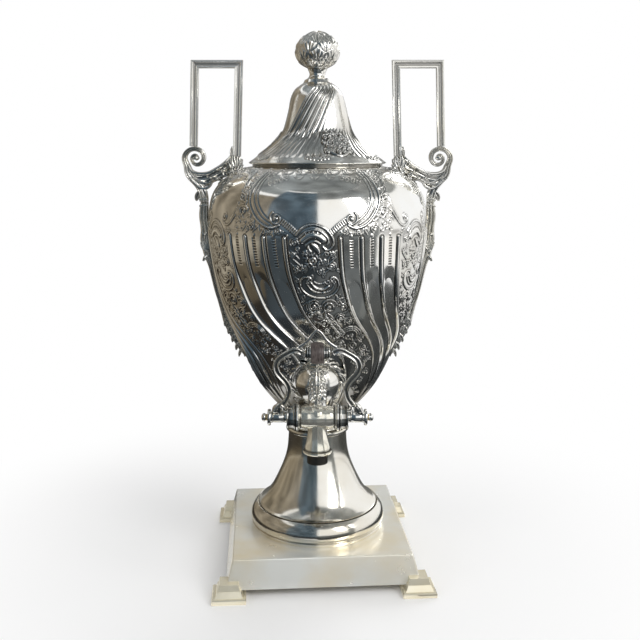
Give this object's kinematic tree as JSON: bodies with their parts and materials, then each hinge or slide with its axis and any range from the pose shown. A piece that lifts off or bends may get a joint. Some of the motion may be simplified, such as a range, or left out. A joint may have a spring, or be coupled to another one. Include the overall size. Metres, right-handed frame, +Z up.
{
  "type": "tea urn",
  "caption": "Footed tea urn: square plinth, trumpet pedestal, vase body with square loop handles, double-lever tap and a lift-off bell lid with a ball finial.",
  "frame": {"origin": "on the urn's axis at the floor that the feet stand on", "axes": "+Z up the urn's axis, -Y towards the tap and its lever, +X to the right seen from the front"},
  "size_m": [0.2446, 0.2139, 0.4802],
  "materials": {
    "polished_silver": "polished silver plate",
    "satin_silver": "worn satin plate",
    "warm_silver": "tarnished plate",
    "brass": "bare brass",
    "dark_bronze": "dark tarnish",
    "horn": "dark horn, worn satin",
    "fibre": "red fibre"
  },
  "bodies": {
    "urn": {"plinth": "satin_silver", "foot_front_left": "warm_silver", "foot_front_right": "warm_silver", "foot_back_left": "warm_silver", "foot_back_right": "warm_silver", "base_ring": "polished_silver", "pedestal": "polished_silver", "body_collar": "polished_silver", "tie_rod": "brass", "base_washer": "brass", "base_nut": "brass", "body_cup": "polished_silver", "body_shell": "polished_silver", "body_shoulder": "polished_silver", "mouth_ring": "polished_silver", "handle_bracket_left": "polished_silver", "handle_bracket_right": "polished_silver", "handle_loop_left": "polished_silver", "handle_loop_right": "polished_silver", "handle_strap_left": "polished_silver", "handle_strap_right": "polished_silver", "tap_escutcheon": "polished_silver", "tap_body": "polished_silver", "tap_leaf": "polished_silver", "tap_seal": "fibre", "tap_back_nut": "brass", "spout_nozzle": "dark_bronze", "tap_cap_left": "polished_silver", "tap_cap_right": "polished_silver"},
    "tap_key": {"tap_plug": "brass", "key_sleeve_left": "polished_silver", "key_sleeve_right": "polished_silver", "key_disc_left": "polished_silver", "key_disc_right": "polished_silver", "key_knob_left": "polished_silver", "key_knob_right": "polished_silver", "lever_arm_left": "polished_silver", "lever_arm_right": "polished_silver", "lever_pins": "brass", "lever_grip": "horn", "grip_rod": "brass", "grip_ferrule_left": "polished_silver", "grip_ferrule_right": "polished_silver", "lever_crest": "polished_silver"},
    "lid": {"lid_shell": "polished_silver", "lid_bezel": "polished_silver", "finial_base": "polished_silver", "finial_ball": "polished_silver", "finial_stud": "brass", "finial_washer": "brass", "finial_nut": "brass"}
  },
  "joints": [
    {"name": "lid_lift", "type": "slide", "parent": "urn", "child": "lid", "axis": [0, 0, 1], "range_m": [0, 0.12]},
    {"name": "tap_turn", "type": "hinge", "parent": "urn", "child": "tap_key", "pos_m": [0, -0.10015, 0.16214], "axis": [1, 0, 0], "range_deg": [0, 90]}
  ]
}
